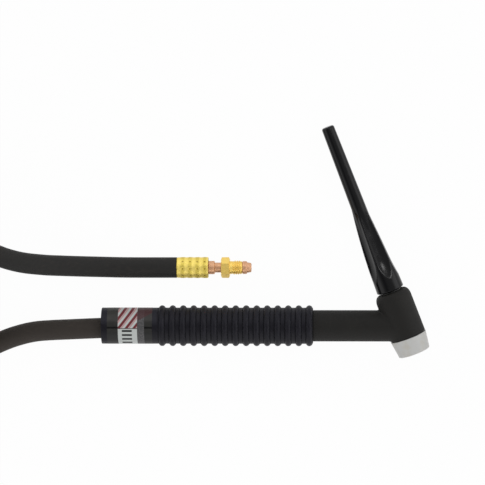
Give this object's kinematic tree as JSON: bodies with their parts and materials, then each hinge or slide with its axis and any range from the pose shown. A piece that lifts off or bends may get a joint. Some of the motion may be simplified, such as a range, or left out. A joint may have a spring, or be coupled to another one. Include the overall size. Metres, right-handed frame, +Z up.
{
  "type": "tig welding torch",
  "caption": "Air-cooled TIG welding torch: angled rubber head, long fluted back cap, white cup gasket, ribbed handle and a one-piece gas and current hose with a brass swivel fitting.",
  "frame": {"origin": "middle of the torch's bounding box without its free hose, on the surface it lies on", "axes": "+X along the handle towards the head, +Z up from the surface; the handle and the head's axis lie in one level plane"},
  "size_m": [0.5035, 0.2185, 0.0591],
  "materials": {
    "head_rubber": "matte moulded silicone rubber",
    "hose_rubber": "matte extruded rubber",
    "ring_rubber": "smooth moulded rubber",
    "ptfe": "turned PTFE, slightly waxy",
    "cap_plastic": "glossy moulded phenolic",
    "handle_plastic": "satin moulded",
    "brass": "turned, bright",
    "ferrule_brass": "stamped, crimped, bright",
    "copper": "copper, turned and drawn"
  },
  "bodies": {
    "torch": {"head_cover": "head_rubber", "head_block": "brass", "gas_tube": "copper", "tube_connector": "brass", "cup_gasket": "ptfe", "handle_shell": "handle_plastic", "front_nut": "brass", "front_stem": "copper", "front_ferrule": "ferrule_brass", "front_conductor": "copper", "hose_in_handle": "hose_rubber", "hose_torch_run": "hose_rubber", "hose_coil": "hose_rubber", "hose_far_run": "hose_rubber", "far_ferrule": "ferrule_brass", "far_stem": "copper", "far_conductor": "copper"},
    "cap_seal": {"back_cap_o_ring": "ring_rubber"},
    "cap": {"back_cap": "cap_plastic", "back_cap_insert": "brass"},
    "swivel_nut": {"far_nut": "brass"}
  },
  "joints": [
    {"name": "cap_travel", "type": "slide", "parent": "torch", "child": "cap_seal", "axis": [-0.3567, 0.9342, 0], "range_m": [0, 0.00762]},
    {"name": "cap_turn", "type": "hinge", "parent": "cap_seal", "child": "cap", "pos_m": [0.08766, -0.0335, 0.01435], "axis": [-0.3567, 0.9342, 0], "range_deg": [0, 2160]},
    {"name": "far_nut_spin", "type": "hinge", "parent": "torch", "child": "swivel_nut", "pos_m": [-0.0245, -0.0187, 0.0075], "axis": [1, 0, 0], "continuous": true}
  ],
  "couplings": [
    {"joint": "cap_turn", "follows": "cap_travel", "rad_per_m": 4947.4}
  ]
}
